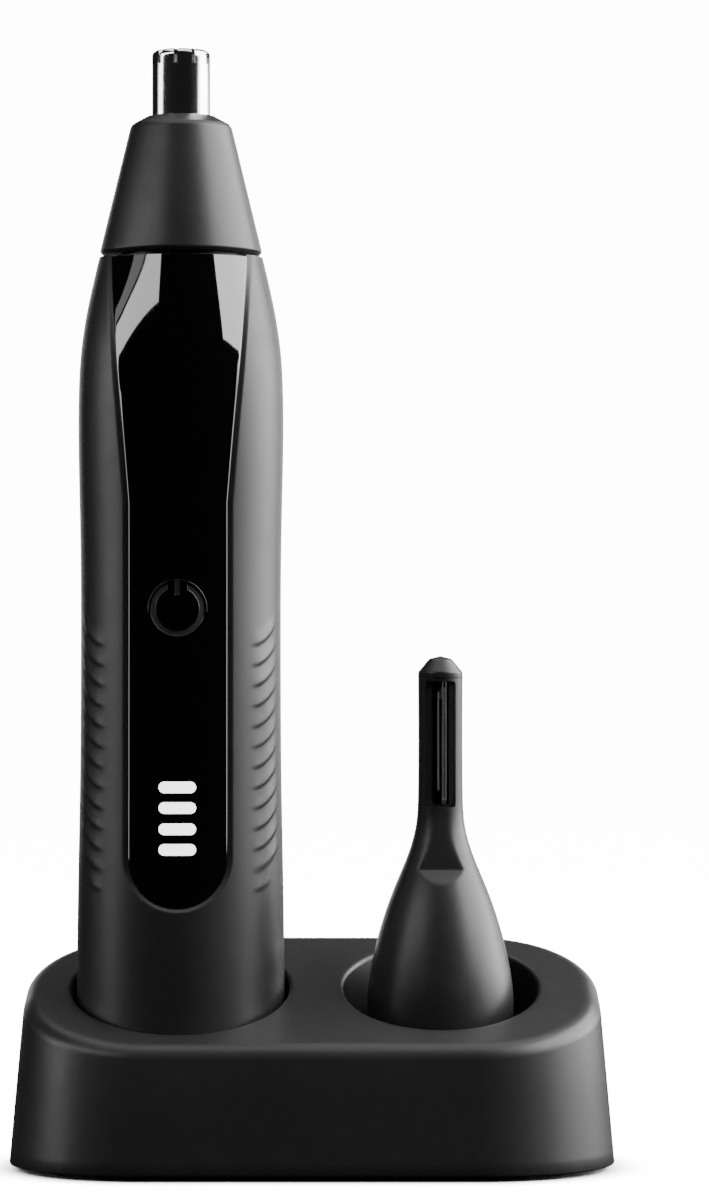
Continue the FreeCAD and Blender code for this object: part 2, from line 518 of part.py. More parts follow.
def make_detail_head():
    save("detail_head_shell", detail_head_shell())
    save("detail_head_cap", detail_head_cap())
    save("fixed_blade", fixed_blade())
    save("moving_blade", moving_blade())
    carrier = rod(1.3, 52.2, 71.6, DETAIL_X).common(block(DETAIL_X - 2, DETAIL_X + 2, -1.0, 2.0, 50.0, 80.0))
    save("blade_carrier", carrier)
    save("blade_spring", coil(0.9, 0.12, 71.65, 73.55, 3, DETAIL_X))
    save("spindle_retainer", ring(9.6, 1.95, 24.2, 26.0, DETAIL_X))
    spindle = block(DETAIL_X - 1, DETAIL_X + 1, -1, 1, 18.0, 30.2).fuse(rod(1.4, 30.0, 50.2, DETAIL_X))
    cam = rod(1.9, 49.2, 51.4, DETAIL_X)
    high = block(DETAIL_X - 3, DETAIL_X + 3, -3, 3, 51.0, 54.0)
    high.rotate(Vector(DETAIL_X, 0, 51.0), Vector(0, 1, 0), 8)
    save("detail_spindle", spindle.fuse(cam.cut(high)).removeSplitter())


make_stand()
make_trimmer()
make_nose_head()
make_detail_head()
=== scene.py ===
"""Nose hair trimmer standing in a two-well charging stand, with its spare detail head: the looks."""

import json
import math

import bmesh
import bpy
import numpy as np
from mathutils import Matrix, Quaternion, Vector


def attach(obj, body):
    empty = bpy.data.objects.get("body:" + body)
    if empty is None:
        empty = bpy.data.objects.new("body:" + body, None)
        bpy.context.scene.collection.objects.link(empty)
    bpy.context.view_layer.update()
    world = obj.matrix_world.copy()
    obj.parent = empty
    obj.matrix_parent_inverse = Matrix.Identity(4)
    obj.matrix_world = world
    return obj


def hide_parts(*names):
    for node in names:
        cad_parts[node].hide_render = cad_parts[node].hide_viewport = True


bl_info = {
    "name": "Nose Hair Trimmer Set",
    "version": (1, 0, 0),
    "blender": (4, 5, 0),
    "location": "View3D > Sidebar > Trimmer",
    "description": "Builds the visible shells, chrome and panel of a nose hair trimmer in its stand",
    "category": "Object",
}

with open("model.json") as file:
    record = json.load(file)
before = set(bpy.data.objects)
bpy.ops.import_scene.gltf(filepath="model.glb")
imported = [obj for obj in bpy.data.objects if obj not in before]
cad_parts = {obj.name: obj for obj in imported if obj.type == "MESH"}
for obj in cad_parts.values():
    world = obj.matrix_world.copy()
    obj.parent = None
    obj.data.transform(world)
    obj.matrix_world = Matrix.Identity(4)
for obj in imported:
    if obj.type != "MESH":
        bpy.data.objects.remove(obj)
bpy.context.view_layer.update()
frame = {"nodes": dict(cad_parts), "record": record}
NODES = frame["nodes"]

# Sizes in millimetres, +Z up, +Y to the rear.
TRIMMER_X, DETAIL_X = -20.2, 19.7
STAND_HALF_X, STAND_HALF_Y, STAND_CORNER = 46.4, 23.6, 21.2
STAND_DRAFT, STAND_RIM, STAND_WALL, STAND_LIP, PLATE_TOP = 0.09, 0.8, 2.0, 0.35, 2.75
SLOPE_MID, SLOPE = 27.8, 0.36
LEFT_WELL, RIGHT_WELL = (TRIMMER_X, 16.6, 11.0), (DETAIL_X, 14.9, 15.5)   # axis, radius, floor
WELL_CORNER, PIN_SPREAD, PIN_HOLE_R = 1.0, 4.0, 0.88
SOCKET_HALF, SOCKET_R, SOCKET_Z = 5.3, 2.2, 7.4
BODY_BOTTOM, BODY_TOP, BODY_WALL, SEAT_TOP, SEAT_INSET = 11.2, 139.6, 2.3, 11.82, 0.6
BODY_CURVE = [(15.95, 27.0), (15.84, 40.0), (15.5, 60.0), (15.4, 78.0), (15.5, 97.0), (15.76, 117.5),
              (15.3, 125.8), (14.1, 133.1), (12.6, 139.6)]
PANEL_CURVE = [(7.7, 101.5), (8.75, 114.0), (9.8, 126.0), (10.6, 140.0)]
PANEL_HALF, PANEL_END, PANEL_SINK, PANEL_DEPTH = 7.7, 48.0, 0.3, 1.5
BUTTON_Z, BUTTON_R, BUTTON_GAP, BUTTON_EDGE, SIGN_R, SIGN_DEPTH = 85.5, 4.55, 0.08, 0.15, 3.695, 0.12
RIB_TOP, RIB_START, RIB_RISE, RIB_SWEEP, RIB_LENGTH = 80.2, 12.8, 3.9, 7.1, 8.2
LAMP_HEIGHTS, LAMP_HALF, LAMP_R = (58.6, 55.5, 52.3, 49.2), 2.83, 0.875
CONE = [(9.6, 140.0), (12.05, 140.0), (12.5, 140.5), (7.85, 159.6), (7.4, 160.2), (5.2, 161.4), (4.5, 161.4),
        (4.5, 159.4), (6.2, 158.2), (8.9, 147.6), (9.6, 146.8)]
TUBE_R, TUBE_FOOT, TUBE_TOP, TUBE_EDGE, FLANGE_R = 4.5, 156.8, 171.6, 1.0, 6.0
SLOT_COUNT, SLOT_TURN, SLOT_WIDTH, SLOT_DEPTH, SLOT_INNER = 10, -9.0, 0.6, 2.3, 2.6
DETAIL_CURVE = [(10.75, 17.0), (11.2, 26.4), (10.4, 31.9), (8.7, 38.4), (6.9, 43.3), (4.9, 48.2), (3.75, 52.6),
                (3.47, 57.0), (3.45, 75.0)]
DETAIL_BOTTOM, DETAIL_WALL, DETAIL_BORE, BORE_TOP, NECK_TOP, CAP_TOP = 17.0, 1.35, 9.6, 24.0, 75.0, 78.4
WINDOW_HALF, WINDOW_BOTTOM, WINDOW_TOP, WINDOW_CORNER, SLIT_HALF = 2.3, 55.2, 74.5, 0.45, 1.25
FACE_LIMIT = [(42.69, -20.0), (42.7, -9.0), (43.1, -7.3), (45.3, -5.1), (45.7, -4.7), (54.0, -3.42), (75.0, -3.4)]
LIGHT_REACH, LIGHT_AIM_Z = 0.9, 0.13   # metres


def millimetres(name, text, default):
    """A length property whose default is given in millimetres."""
    return bpy.props.FloatProperty(name=name, description=text, default=default / 1000, unit="LENGTH", precision=5)


def tint(name, text, default):
    """A colour property."""
    return bpy.props.FloatVectorProperty(name=name, description=text, default=default, subtype="COLOR", size=3,
                                         min=0.0, max=1.0)


class StandSettings(bpy.types.PropertyGroup):
    edge_fillet: millimetres("Edge fillet", "Rounding of the stand's top edge", 3.0)
    rim_fillet: millimetres("Rim fillet", "Rounding of the rims of the wells", 0.8)


class TrimmerSettings(bpy.types.PropertyGroup):
    bevel_width: millimetres("Bevel width", "Width of the groove round the front panel", 0.7)
    bevel_depth: millimetres("Bevel depth", "Depth of the groove round the front panel", 0.45)
    rib_height: millimetres("Rib height", "How far the grip ribs stand proud", 0.17)
    rib_pitch: millimetres("Rib pitch", "Distance from rib to rib", 3.1)
    rib_count: bpy.props.IntProperty(name="Ribs", description="Grip ribs on each side", default=13, min=0)
    panel_edge: millimetres("Panel edge", "Rounding of the front panel's edge", 0.35)


class FinishSettings(bpy.types.PropertyGroup):
    shell: tint("Shell", "Soft-touch shells", (0.016, 0.016, 0.0165))
    satin: tint("Satin", "Satin plastic parts", (0.015, 0.015, 0.0155))
    panel: tint("Panel", "High-gloss front panel", (0.0012, 0.0012, 0.0014))
    # The sign's paler tint is partly painted highlight, for the glint on the groove's edges.
    sign: tint("Sign", "Engraved on-off sign", (0.02, 0.02, 0.021))
    lamp: tint("Lamp", "Lit gauge bars", (1.0, 1.0, 1.0))
    chrome: tint("Chrome", "Cutter tube", (0.86, 0.86, 0.87))
    steel: tint("Steel", "Blades and shafts", (0.8, 0.8, 0.81))


# ---- surfaces ----
def smooth_curve(knots):
    """Value by height: the natural cubic through (value, height) knots, held level beyond its ends."""
    v, z = np.array(knots, float).T
    h, n = np.diff(z), len(z)
    i = np.arange(1, n - 1)
    system, right = np.eye(n), np.zeros(n)
    system[i, i - 1], system[i, i], system[i, i + 1] = h[:-1], 2 * (h[:-1] + h[1:]), h[1:]
    right[i] = 6 * np.diff(np.diff(v) / h)
    c = np.linalg.solve(system, right)

    def value(at):
        at = np.clip(at, z[0], z[-1])
        k = np.clip(np.searchsorted(z, at) - 1, 0, n - 2)
        a, b = z[k + 1] - at, at - z[k]
        return ((c[k] * a ** 3 + c[k + 1] * b ** 3) / (6 * h[k])
                + (v[k] / h[k] - c[k] * h[k] / 6) * a + (v[k + 1] / h[k] - c[k + 1] * h[k] / 6) * b)

    return value


BODY_RADIUS, DETAIL_RADIUS = smooth_curve(BODY_CURVE), smooth_curve(DETAIL_CURVE)
PANEL_WIDTH = smooth_curve(PANEL_CURVE)


def ease(t):
    """0 below 0, 1 above 1, and 3t^2 - 2t^3 between."""
    t = np.clip(t, 0, 1)
    return t * t * (3 - 2 * t)


def stacked(x, y, z):
    """Three arrays that broadcast together, as one array of points."""
    return np.stack(np.broadcast_arrays(x, y, z), -1)


def outline(corners, steps=5):
    """Closed outline of (x, y, rounding) corners. Each corner becomes a tangent arc: its centre lies on the
    corner's bisector at rounding / sin(half the corner's angle), and the arc is swept evenly between the two
    tangent points."""
    corners = np.array(corners, float)
    p, r = corners[:, :2], corners[:, 2:]
    back, ahead = np.roll(p, 1, 0) - p, np.roll(p, -1, 0) - p
    back /= np.linalg.norm(back, axis=1, keepdims=True)
    ahead /= np.linalg.norm(ahead, axis=1, keepdims=True)
    half = 0.5 * np.arccos(np.clip((back * ahead).sum(1, keepdims=True), -1, 1))
    middle = back + ahead
    middle /= np.linalg.norm(middle, axis=1, keepdims=True)
    centre = p + middle * r / np.sin(half)
    start, end = p + back * r / np.tan(half) - centre, p + ahead * r / np.tan(half) - centre
    sweep, t = (math.pi - 2 * half)[:, None], np.linspace(0, 1, steps)[None, :, None]
    arcs = (start[:, None] * np.sin((1 - t) * sweep) + end[:, None] * np.sin(t * sweep)) / np.sin(sweep)
    points = (centre[:, None] + arcs).reshape(-1, 2)
    return np.concatenate([points, points[:1]])


def turned(line, x=0.0, turns=128):
    """A (radius, height) line carried round the upright axis at x: x + r sin a, -r cos a, z."""
    angle = np.linspace(0, 2 * math.pi, turns + 1)
    radius, height = line[:, :1], line[:, 1:]
    return stacked(x + radius * np.sin(angle), -radius * np.cos(angle), height)


def bar_outline(half, radius, x, z):
    """Outline of a bar with round ends, in the XZ plane."""
    angle = np.linspace(0, 2 * math.pi, 41)
    side = np.sign(np.cos(angle)) * (half - radius)
    return np.stack([x + radius * np.cos(angle) + side, z + radius * np.sin(angle)], 1)


def along_y(shape, y0, y1):
    """Closed prism of an XZ outline between two depths: both ends fan to the outline's middle."""
    x, z = shape[:, 0], shape[:, 1]
    mid_x, mid_z = (x.min() + x.max()) / 2, (z.min() + z.max()) / 2
    ends = [stacked(mid_x + 0 * x, y, mid_z + 0 * z) for y in (y0, y1)]
    return np.stack([ends[0], stacked(x, y0, z), stacked(x, y1, z), ends[1]])


def piece(name, patches, sharp=32.0, keep=None):
    """One mesh from grids of points in millimetres; keep marks the cells of the first grid that stay."""
    points, quads, count = [], [], 0
    for number, patch in enumerate(patches):
        rows, columns = patch.shape[:2]
        index = count + np.arange(rows * columns).reshape(rows, columns)
        cells = np.stack([index[:-1, :-1], index[:-1, 1:], index[1:, 1:], index[1:, :-1]], -1)
        quads.append(cells[keep] if keep is not None and number == 0 else cells.reshape(-1, 4))
        points.append(patch.reshape(-1, 3))
        count += rows * columns
    mesh = bpy.data.meshes.new(name)
    mesh.from_pydata((np.concatenate(points) / 1000).tolist(), [], np.concatenate(quads).tolist())
    work = bmesh.new()
    work.from_mesh(mesh)
    bmesh.ops.remove_doubles(work, verts=work.verts, dist=2e-6)
    bmesh.ops.dissolve_degenerate(work, edges=work.edges, dist=1e-7)
    bmesh.ops.delete(work, geom=[v for v in work.verts if not v.link_faces], context="VERTS")
    bmesh.ops.recalc_face_normals(work, faces=work.faces)
    work.to_mesh(mesh)
    work.free()
    mesh.shade_smooth()
    mesh.set_sharp_from_angle(angle=math.radians(sharp))
    made = bpy.data.objects.new(name, mesh)
    bpy.context.scene.collection.objects.link(made)
    return made


def cut(target, cutters, sharp=32.0):
    """Takes the cutters out of the target and keeps the result as plain mesh."""
    for cutter in cutters:
        change = target.modifiers.new("Cut", "BOOLEAN")
        change.operation, change.solver, change.object = "DIFFERENCE", "EXACT", cutter
    graph = bpy.context.evaluated_depsgraph_get()
    mesh = bpy.data.meshes.new_from_object(target.evaluated_get(graph))
    target.modifiers.clear()
    target.data = mesh
    for cutter in cutters:
        bpy.data.objects.remove(cutter)
    mesh.shade_smooth()
    mesh.set_sharp_from_angle(angle=math.radians(sharp))
    return target


def place(made, body, slot, replaced):
    """Puts a finished piece on its body, in the stead of a CAD node, with the material of its slot."""
    made.data.materials.clear()
    made.data.materials.append(bpy.data.materials[slot])
    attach(made, body)
    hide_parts(replaced)


# ---- stand ----
def stand_outline(turns):
    """Points and outward normals of the rounded rectangle at the floor, by share of a turn: the corner centres'
    box plus the corner radius along the normal. The normal stays still along the flats, where the point slides.
    The turn starts in the middle of the front."""
    flat_x, flat_y = STAND_HALF_X - STAND_CORNER, STAND_HALF_Y - STAND_CORNER
    arc = STAND_CORNER * math.pi / 2
    edges = np.cumsum([0, flat_x, arc, 2 * flat_y, arc, 2 * flat_x, arc, 2 * flat_y, arc, flat_x])
    at = np.interp(turns, [0, 1], [0, edges[-1]])
    angle = np.interp(at, edges, np.array([0, 0, 1, 1, 2, 2, 3, 3, 4, 4]) * math.pi / 2)
    centre_x = np.interp(at, edges, flat_x * np.array([0, 1, 1, 1, 1, -1, -1, -1, -1, 0]))
    centre_y = np.interp(at, edges, flat_y * np.array([-1, -1, -1, 1, 1, 1, 1, -1, -1, -1]))
    normal = np.stack([np.sin(angle), -np.cos(angle)], 1)
    return np.stack([centre_x, centre_y], 1) + STAND_CORNER * normal, normal


def arc_between(corner, a, b, radius, steps):
    """Arc of a fillet in the (outward, height) plane: from the tangent point along a to the one along b."""
    a, b = (v / np.linalg.norm(v, axis=1, keepdims=True) for v in (a, b))
    half = 0.5 * np.arccos((a * b).sum(1, keepdims=True))
    centre = corner + (a + b) / np.linalg.norm(a + b, axis=1, keepdims=True) * radius / np.sin(half)
    start, end = (corner + v * radius / np.tan(half) - centre for v in (a, b))
    sweep, t = (math.pi - 2 * half)[None], np.linspace(0, 1, steps)[:, None, None]
    return centre + (start * np.sin((1 - t) * sweep) + end * np.sin(t * sweep)) / np.sin(sweep)


def stand_shell(settings):
    """Housing: outer wall with its rounded top edge, a sloping top in two rings that meet on the line between the
    wells, and each well from its rounded rim down to its floor."""
    split = (TRIMMER_X + DETAIL_X) / 2
    length = (STAND_HALF_X - STAND_CORNER) * 4 + (STAND_HALF_Y - STAND_CORNER) * 4 + STAND_CORNER * 2 * math.pi
    front, rear = 1 + split / length, 0.5 - split / length
    turns = np.unique(np.round(np.concatenate([np.linspace(0, 1, 241), [front, rear]]), 9))
    points, normals = stand_outline(turns)
    radius = settings.edge_fillet * 1000
    crest = (SLOPE_MID + SLOPE * points[:, 1]) / (1 + SLOPE * normals[:, 1] * STAND_DRAFT)
    corner = np.stack([-STAND_DRAFT * crest, crest], 1)
    ones = np.ones(len(turns))
    fillet = arc_between(corner, np.stack([STAND_DRAFT * ones, -ones], 1),
                         np.stack([-ones, -SLOPE * normals[:, 1]], 1), radius, 12)
    foot = [(-STAND_WALL, PLATE_TOP), (-STAND_WALL, STAND_RIM), (-STAND_LIP - 0.1, STAND_RIM),
            (-0.35 * STAND_LIP - 0.08, STAND_RIM + 0.3 * STAND_LIP)]
    side = [(-STAND_DRAFT * z, z) for z in (STAND_RIM + STAND_LIP, 3.0, 6.0, 9.0, 12.0)]
    local = np.stack([np.broadcast_to(np.array(q, float), (len(turns), 2)) for q in foot + side] + list(fillet))
    outer = stacked(points[:, 0] + normals[:, 0] * local[..., 0], points[:, 1] + normals[:, 1] * local[..., 0],
                    local[..., 1])
    middle = stacked(0 * ones, 0 * ones, PLATE_TOP * ones)[None]
    patches = [np.concatenate([middle, outer])]
    edge = outer[-1]
    edge_front = edge[np.argmin(abs(turns - front))]
    edge_rear = edge[np.argmin(abs(turns - rear))]
    between = edge_front + (edge_rear - edge_front) * np.linspace(0, 1, 25)[:, None]
    left = np.concatenate([edge[(turns >= rear - 1e-9) & (turns <= front + 1e-9)], between[1:]])
    right_part = np.concatenate([edge[turns >= front - 1e-9], edge[(turns <= rear + 1e-9)][1:]])
    right = np.concatenate([right_part, between[::-1][1:]])
    rim = settings.rim_fillet * 1000
    for border, (axis, well, floor) in ((left, LEFT_WELL), (right, RIGHT_WELL)):
        angle = np.arctan2(border[:, 1], border[:, 0] - axis)
        cos, sin = np.cos(angle), np.sin(angle)
        flat = np.stack([0 * sin, SLOPE_MID + SLOPE * well * sin], 1)
        rounded = arc_between(flat, np.stack([0 * sin, -1 + 0 * sin], 1), np.stack([1 + 0 * sin, SLOPE * sin], 1),
                              rim, 7)
        bend = np.linspace(0, math.pi / 2, 6)[:, None]
        low_r = np.concatenate([[[0.0]], well - WELL_CORNER * (1 - np.sin(bend))]) + 0 * angle
        low_z = np.concatenate([[[floor]], floor + WELL_CORNER * (1 - np.cos(bend))]) + 0 * angle
        reach = np.concatenate([low_r, rounded[..., 0] + well])
        height = np.concatenate([low_z, rounded[..., 1]])
        ring = stacked(axis + reach * cos, reach * sin, height)
        share = np.linspace(0, 1, 7)[1:, None, None]
        patches.append(np.concatenate([ring, ring[-1] + (border - ring[-1]) * share]))
    shell = piece("stand_housing", patches)
    cutters = [piece("socket_cutter", [along_y(bar_outline(SOCKET_HALF, SOCKET_R, 0.0, SOCKET_Z), 14.4, 30.0)])]
    hole = np.array([(0, 8.0), (PIN_HOLE_R, 8.0), (PIN_HOLE_R, 12.0), (0, 12.0)])
    cutters += [piece("pin_cutter", [turned(hole, TRIMMER_X + x, 32)]) for x in (-PIN_SPREAD, PIN_SPREAD)]
    return cut(shell, cutters)


# ---- trimmer ----
def panel_half(z):
    """Half width of the front panel by height, above its round lower end."""
    return np.where(z > PANEL_CURVE[0][1], PANEL_WIDTH(z), PANEL_HALF)


def panel_reach(z, grow):
    """Half width of the panel's outline grown by grow: sideways above the round end, and round its centre below."""
    end = np.sqrt(np.clip((PANEL_HALF + grow) ** 2 - np.minimum(z - PANEL_END, 0) ** 2, 0, None))
    return np.where(z < PANEL_END, end, panel_half(z) + grow)


def panel_distance(x, z):
    """Distance outwards from the panel's outline."""
    return np.where(z < PANEL_END, np.hypot(x, np.minimum(z - PANEL_END, 0)) - PANEL_HALF, abs(x) - panel_half(z))


def grip(x_angle, z, settings):
    """Height of the grip ribs. Along the girth s a rib's line rises by rise ((s - start) / sweep)^1.6. Across it,
    the rib rises steeply just under its line and falls slowly above it. It fades out at both ends, and the lowest
    ribs are shorter."""
    s = BODY_CURVE[3][0] * x_angle
    line = z - RIB_RISE * (np.clip(s - RIB_START, 0, None) / RIB_SWEEP) ** 1.6
    t = (line - RIB_TOP) / (settings.rib_pitch * 1000)
    number = np.floor(t + 0.14)
    part = t - number
    across = np.where(part < 0, ease(part / 0.14 + 1), np.clip(1 - part / 0.78, 0, 1) ** 1.4)
    last = number + settings.rib_count
    reach = np.where(last < 2, 3.6 + 1.6 * last, RIB_LENGTH)
    along = ease((s - 11.9) / 2.6) * ease((12.0 + reach - s) / 2.6)
    return np.where((number <= 0) & (last > 0), across * along, 0) * settings.rib_height * 1000


def body_rows():
    """Heights of the rows: fine round the panel's lower end and over the ribs."""
    end = PANEL_END - PANEL_HALF
    bend = PANEL_END - PANEL_HALF * np.cos(np.linspace(0, math.pi / 2, 26))
    below = end - np.array([0.85, 0.75, 0.65, 0.55, 0.45, 0.35, 0.25, 0.17, 0.1, 0.05])
    rows = np.concatenate([[BODY_BOTTOM, 11.8, 11.85], np.arange(13.5, 37, 2.0), np.arange(37.5, end - 1, 0.45), below,
                           bend, np.arange(PANEL_END + 0.28, 86, 0.28), np.arange(86.5, 139.2, 1.2), [BODY_TOP]])
    return np.unique(np.round(rows, 6))


def body_barrel(settings):
    """Body: one closed loop of columns, the recess floor and then the outside round to its other edge, over all
    heights, then over the top and down the inside. Outside radius = body curve - bevel + ribs."""
    z = body_rows()
    split = PANEL_END - PANEL_HALF
    low, high = z[z <= split + 1e-6], z[z >= split - 1e-6]
    z = np.concatenate([low, high])[:, None]
    recessed = np.concatenate([np.zeros(len(low), bool), np.ones(len(high), bool)])[:, None]
    width, depth = settings.bevel_width * 1000, settings.bevel_depth * 1000
    radius = BODY_RADIUS(z)
    grow = np.concatenate([[0, 0.04], width * np.array([0.2, 0.4, 0.6, 0.8, 0.93, 1.0]), [width + 0.15]])
    near = np.concatenate([np.arcsin(np.clip(panel_reach(z, g) / radius, 0, 1)) for g in grow], 1)
    first = near[:, -1:]
    knee = np.maximum(math.radians(86), first)
    angle = np.concatenate([near, first + (knee - first) * np.linspace(0, 1, 36)[1:],
                            knee + (math.pi - knee) * np.linspace(0, 1, 27)[1:]], 1)
    across = radius * np.sin(angle)
    away = np.where(angle < math.pi / 2, panel_distance(across, z), 20.0)
    sunk = depth * (1 - ease(away / width))
    outside = radius - np.where(away >= -1e-6, sunk, depth) + grip(angle, z, settings)
    outside = np.where(z < SEAT_TOP, outside - SEAT_INSET, outside)
    right = np.stack([outside * np.sin(angle), -outside * np.cos(angle)], -1)
    right[:, 0, 0] = panel_reach(z, 0)[:, 0]
    reach = (radius - depth)[:, 0]
    right[:, 0, 1] = np.where(recessed[:, 0], -np.sqrt(reach ** 2 - right[:, 0, 0] ** 2), right[:, 0, 1])
    left = right[:, ::-1][:, 1:] * np.array([-1, 1])
    floor_x = panel_reach(z, 0) * np.linspace(-1, 1, 13)
    floor_y = np.where(recessed, -np.sqrt(np.maximum((radius - PANEL_DEPTH) ** 2 - floor_x ** 2, 0)), right[:, :1, 1])
    floor = np.stack([floor_x, floor_y], -1)
    outer = np.concatenate([floor, right, left, floor[:, :1]], 1)
    edge = math.atan2(floor_x[-1, -1], -floor_y[-1, -1])
    top = angle[-1]
    spread = edge + (math.pi - edge) * (top - top[0]) / (math.pi - top[0])
    around = np.concatenate([np.linspace(-edge, edge, 13), spread, (2 * math.pi - spread[::-1])[1:],
                             [2 * math.pi - edge]])
    circle = np.stack([np.sin(around), -np.cos(around)], -1)
    crown = np.concatenate([floor[-1], (BODY_RADIUS(BODY_TOP) - PANEL_DEPTH) * circle[13:-1], floor[-1, :1]])
    inner_z = np.linspace(BODY_TOP, BODY_BOTTOM, 40)
    inner = (BODY_RADIUS(inner_z) - BODY_WALL)[:, None, None] * circle
    flat = np.concatenate([outer, crown[None], inner, outer[:1]])
    heights = np.concatenate([z[:, 0], [BODY_TOP], inner_z, [BODY_BOTTOM]])
    loop = stacked(TRIMMER_X + flat[..., 0], flat[..., 1], heights[:, None])
    return piece("body_barrel", [loop], sharp=38)


def front_panel(settings):
    """Gloss cover: x runs between the panel's edges, y follows the body's radius less the sink and an edge rounding
    e (1 - sqrt(1 - (1 - d / e)^2)), with d the distance inwards from the edge. Its back stands just off the
    recess."""
    end, top, gap, edge = PANEL_END - PANEL_HALF, BODY_TOP - 0.3, 0.05, settings.panel_edge * 1000
    insets = gap + edge * np.array([0, 0.05, 0.15, 0.3, 0.5, 0.75, 1.0, 1.6])
    bend = PANEL_END - (PANEL_HALF - gap) * np.cos(np.linspace(0, math.pi / 2, 34))
    rows = np.concatenate([end + insets, bend, np.arange(PANEL_END + 0.8, top, 0.8), [top]])
    z = np.unique(np.round(rows, 6))[:, None]
    side = np.concatenate([panel_reach(z, -i) for i in insets], 1)
    middle = side[:, -1:] * np.linspace(1, -1, 25)[1:-1]
    x = np.concatenate([side, middle, -side[:, ::-1]], 1)
    inward = np.clip(-panel_distance(x, z) - gap, 0, edge)
    rounding = edge * (1 - np.sqrt(1 - (1 - inward / edge) ** 2))
    front = -np.sqrt((BODY_RADIUS(z) - PANEL_SINK - rounding) ** 2 - x ** 2)
    back = -np.sqrt((BODY_RADIUS(z) - PANEL_DEPTH + 0.05) ** 2 - x ** 2)
    loop_x = np.concatenate([x, x[:, ::-1], x[:, :1]], 1)
    loop_y = np.concatenate([front, back[:, ::-1], front[:, :1]], 1)
    body = stacked(TRIMMER_X + loop_x, loop_y, z)
    columns = x.shape[1]
    lid = np.stack([body[-1, :columns], body[-1, columns:2 * columns][::-1]])
    panel = piece("front_panel_gloss", [body, lid])
    circle, reach = np.linspace(0, 2 * math.pi, 65), BUTTON_R + BUTTON_GAP
    hole = np.stack([TRIMMER_X + reach * np.cos(circle), BUTTON_Z + reach * np.sin(circle)], 1)
    cutters = [piece("button_cutter", [along_y(hole, -18.0, -9.0)])]
    cutters += [piece("lamp_cutter", [along_y(bar_outline(LAMP_HALF, LAMP_R, TRIMMER_X, h), -18.0, -9.0)])
                for h in LAMP_HEIGHTS]
    return cut(panel, cutters)


def sign_mask(x, z):
    """1 inside the on-off sign: a ring that is open at the top, and a dash in the opening."""
    r = np.hypot(x, z)
    ring = ease((0.42 - abs(r - SIGN_R)) / 0.05) * np.where(z > 0, ease((abs(x) - 1.5) / 0.06), 1)
    dash = ease((0.44 - abs(x)) / 0.05) * ease((z - 2.08) / 0.05) * ease((4.4 - z) / 0.05)
    return np.maximum(ring, dash)


def button_cap():
    """Round cap on a square grid that is drawn out to a circle. Its face follows the body less the panel's sink and
    less the sign's depth where that is engraved, and its rim is rounded."""
    u = np.linspace(-1, 1, 141)
    a, b = np.meshgrid(u, u, indexing="ij")
    scale = np.maximum(abs(a), abs(b)) / np.maximum(np.hypot(a, b), 1e-9)
    x, z = BUTTON_R * a * scale, BUTTON_R * b * scale
    r = np.hypot(x, z)
    rim = np.clip((BUTTON_R - r) / BUTTON_EDGE, 0, 1)
    sunk = PANEL_SINK + BUTTON_EDGE * (1 - np.sqrt(1 - (1 - rim) ** 2)) + SIGN_DEPTH * sign_mask(x, z)
    face = stacked(TRIMMER_X + x, -np.sqrt((BODY_RADIUS(BUTTON_Z + z) - sunk) ** 2 - x ** 2), BUTTON_Z + z)
    border = np.concatenate([face[0, :-1], face[:-1, -1], face[-1, :0:-1], face[::-1, 0]])
    steps = [(BUTTON_R, -12.3), (2.2, -12.3), (2.2, -11.3), (0.0, -11.3)]
    angle = np.arctan2(border[:, 2] - BUTTON_Z, border[:, 0] - TRIMMER_X)
    back = np.stack([border] + [stacked(TRIMMER_X + q * np.cos(angle), y, BUTTON_Z + q * np.sin(angle))
                                for q, y in steps])
    return piece("power_button_cap", [face, back], sharp=50)


# ---- nose head ----
def nose_cone():
    """Cone: its section turned round the axis, with small roundings at the foot, the shoulder and the mouth."""
    roundings = [0.1, 0.15, 0.5, 0.9, 0.5, 0.25, 0.15, 0.1, 0.3, 0.2, 0.1]
    line = outline([(r, z, rounding) for (r, z), rounding in zip(CONE, roundings)], 7)
    return piece("nose_cone", [turned(line, TRIMMER_X, 160)], sharp=40)


